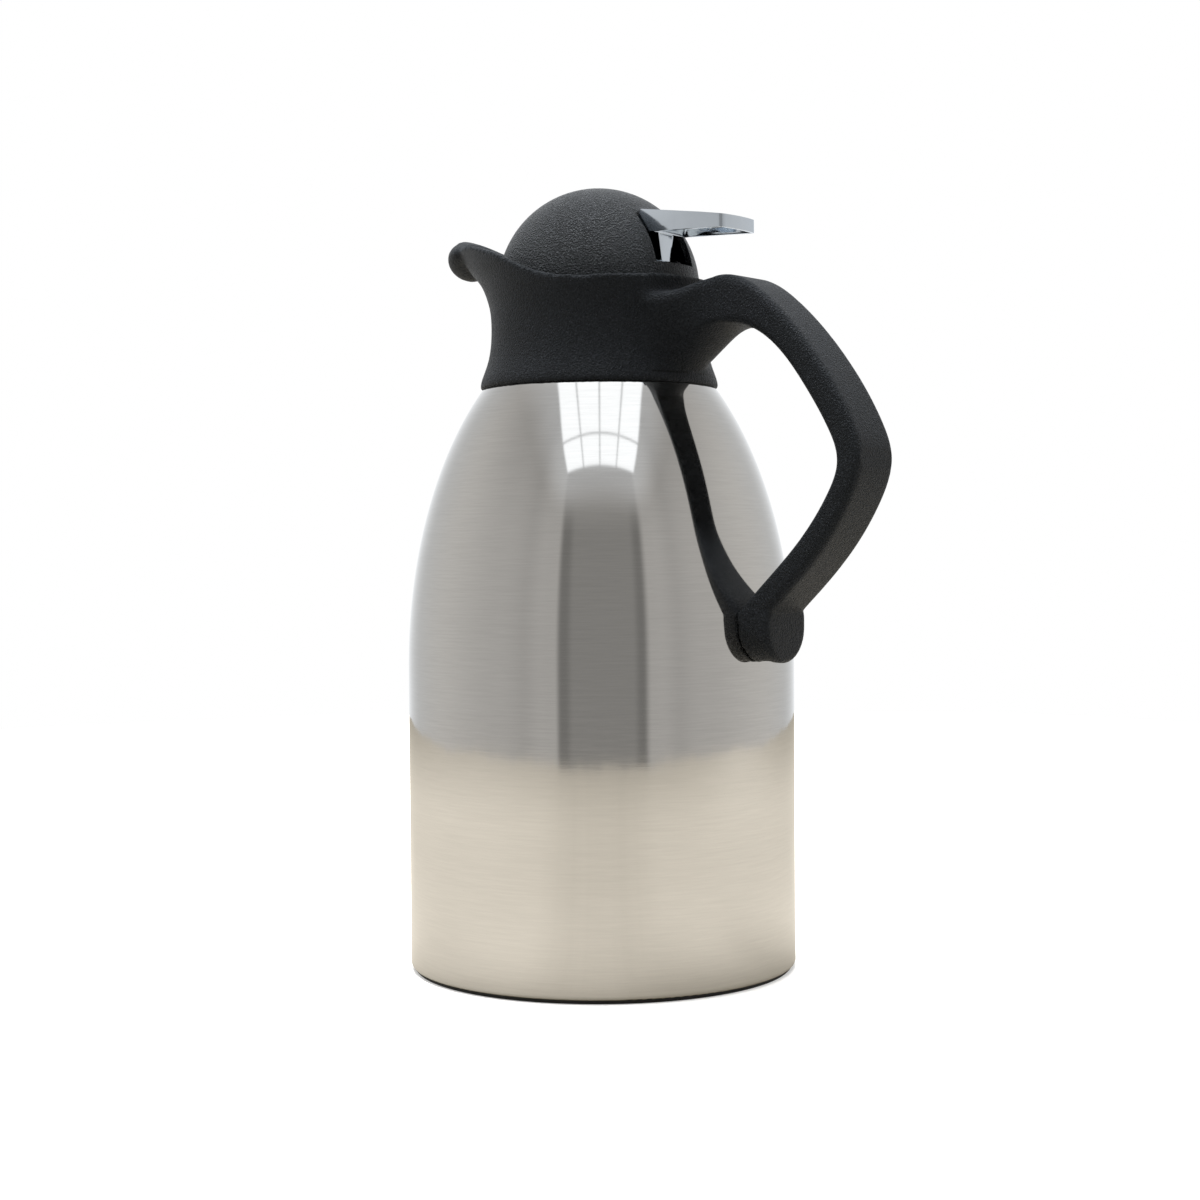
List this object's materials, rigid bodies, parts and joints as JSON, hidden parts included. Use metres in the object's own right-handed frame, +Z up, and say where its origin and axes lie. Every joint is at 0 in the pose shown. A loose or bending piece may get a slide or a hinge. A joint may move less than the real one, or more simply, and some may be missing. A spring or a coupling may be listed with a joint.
{
  "type": "thermal carafe",
  "caption": "Insulated steel jug with a pouring spout and side handle, closed by a screw-in domed stopper whose thumb lever lifts a spring-loaded pouring valve.",
  "frame": {"origin": "centre of the base, on the plane that the foot ring rests on", "axes": "+Z up along the body's axis, +X to the handle, -X to the spout"},
  "size_m": [0.198, 0.149, 0.2999],
  "materials": {
    "brushed_shell": "fine horizontal brushing, bright satin",
    "inner_steel": "plain drawn steel, electropolished",
    "hardware_steel": "plain stainless",
    "spring_steel": "drawn spring wire",
    "glass_solder": "dull glassy bead",
    "base_plastic": "moulded black, smooth matt",
    "foot_rubber": "matt black rubber",
    "black_plastic": "moulded black with a fine leathery grain",
    "dome_plastic": "moulded black with a fine sandy grain",
    "stopper_plastic": "moulded black, smooth",
    "seal_rubber": "grey food-grade silicone",
    "lever_chrome": "bright plated plastic"
  },
  "bodies": {
    "jug": {"outer_shell": "brushed_shell", "floor_pan": "brushed_shell", "vacuum_seal": "glass_solder", "base_cap": "base_plastic", "foot_ring": "foot_rubber", "inner_flask": "inner_steel", "inner_flask_floor": "inner_steel", "getter": "inner_steel", "collar": "black_plastic", "shoulder_seal": "seal_rubber", "neck_gasket": "seal_rubber", "snap_ring": "hardware_steel", "handle": "black_plastic", "handle_bracket": "hardware_steel", "handle_screw": "hardware_steel", "handle_screw_plug": "black_plastic"},
    "neck_seal": {"stopper_gasket": "seal_rubber"},
    "lid": {"stopper_body": "stopper_plastic", "lid_deck": "stopper_plastic", "deck_screws": "hardware_steel", "dome_cover": "dome_plastic", "dome_screws": "hardware_steel", "lever_pin": "hardware_steel", "valve_spring": "spring_steel"},
    "lever": {"press_lever": "lever_chrome"},
    "valve": {"valve_stem": "stopper_plastic", "lift_pin": "hardware_steel", "valve_plug": "seal_rubber", "spring_washer": "hardware_steel"}
  },
  "joints": [
    {"name": "lid_rise", "type": "slide", "parent": "jug", "child": "neck_seal", "axis": [0, 0, 1], "range_m": [0, 0.0601]},
    {"name": "lid_twist", "type": "hinge", "parent": "neck_seal", "child": "lid", "pos_m": [0, 0, 0.25], "axis": [0, 0, 1], "range_deg": [0, 720]},
    {"name": "lever_press", "type": "hinge", "parent": "lid", "child": "lever", "pos_m": [0.031, 0, 0.2674], "axis": [0, 1, 0], "range_deg": [0, 10], "stiffness_Nm_per_rad": 0.384, "springref_deg": -7.39},
    {"name": "valve_lift", "type": "slide", "parent": "lid", "child": "valve", "axis": [0, 0, 1], "range_m": [0, 0.0058], "deforming": ["valve_spring"]}
  ],
  "couplings": [
    {"joint": "lid_rise", "follows": "lid_twist", "m_per_rad": 0.0047746},
    {"joint": "valve_lift", "follows": "lever_press", "m_per_rad": 0.031}
  ]
}
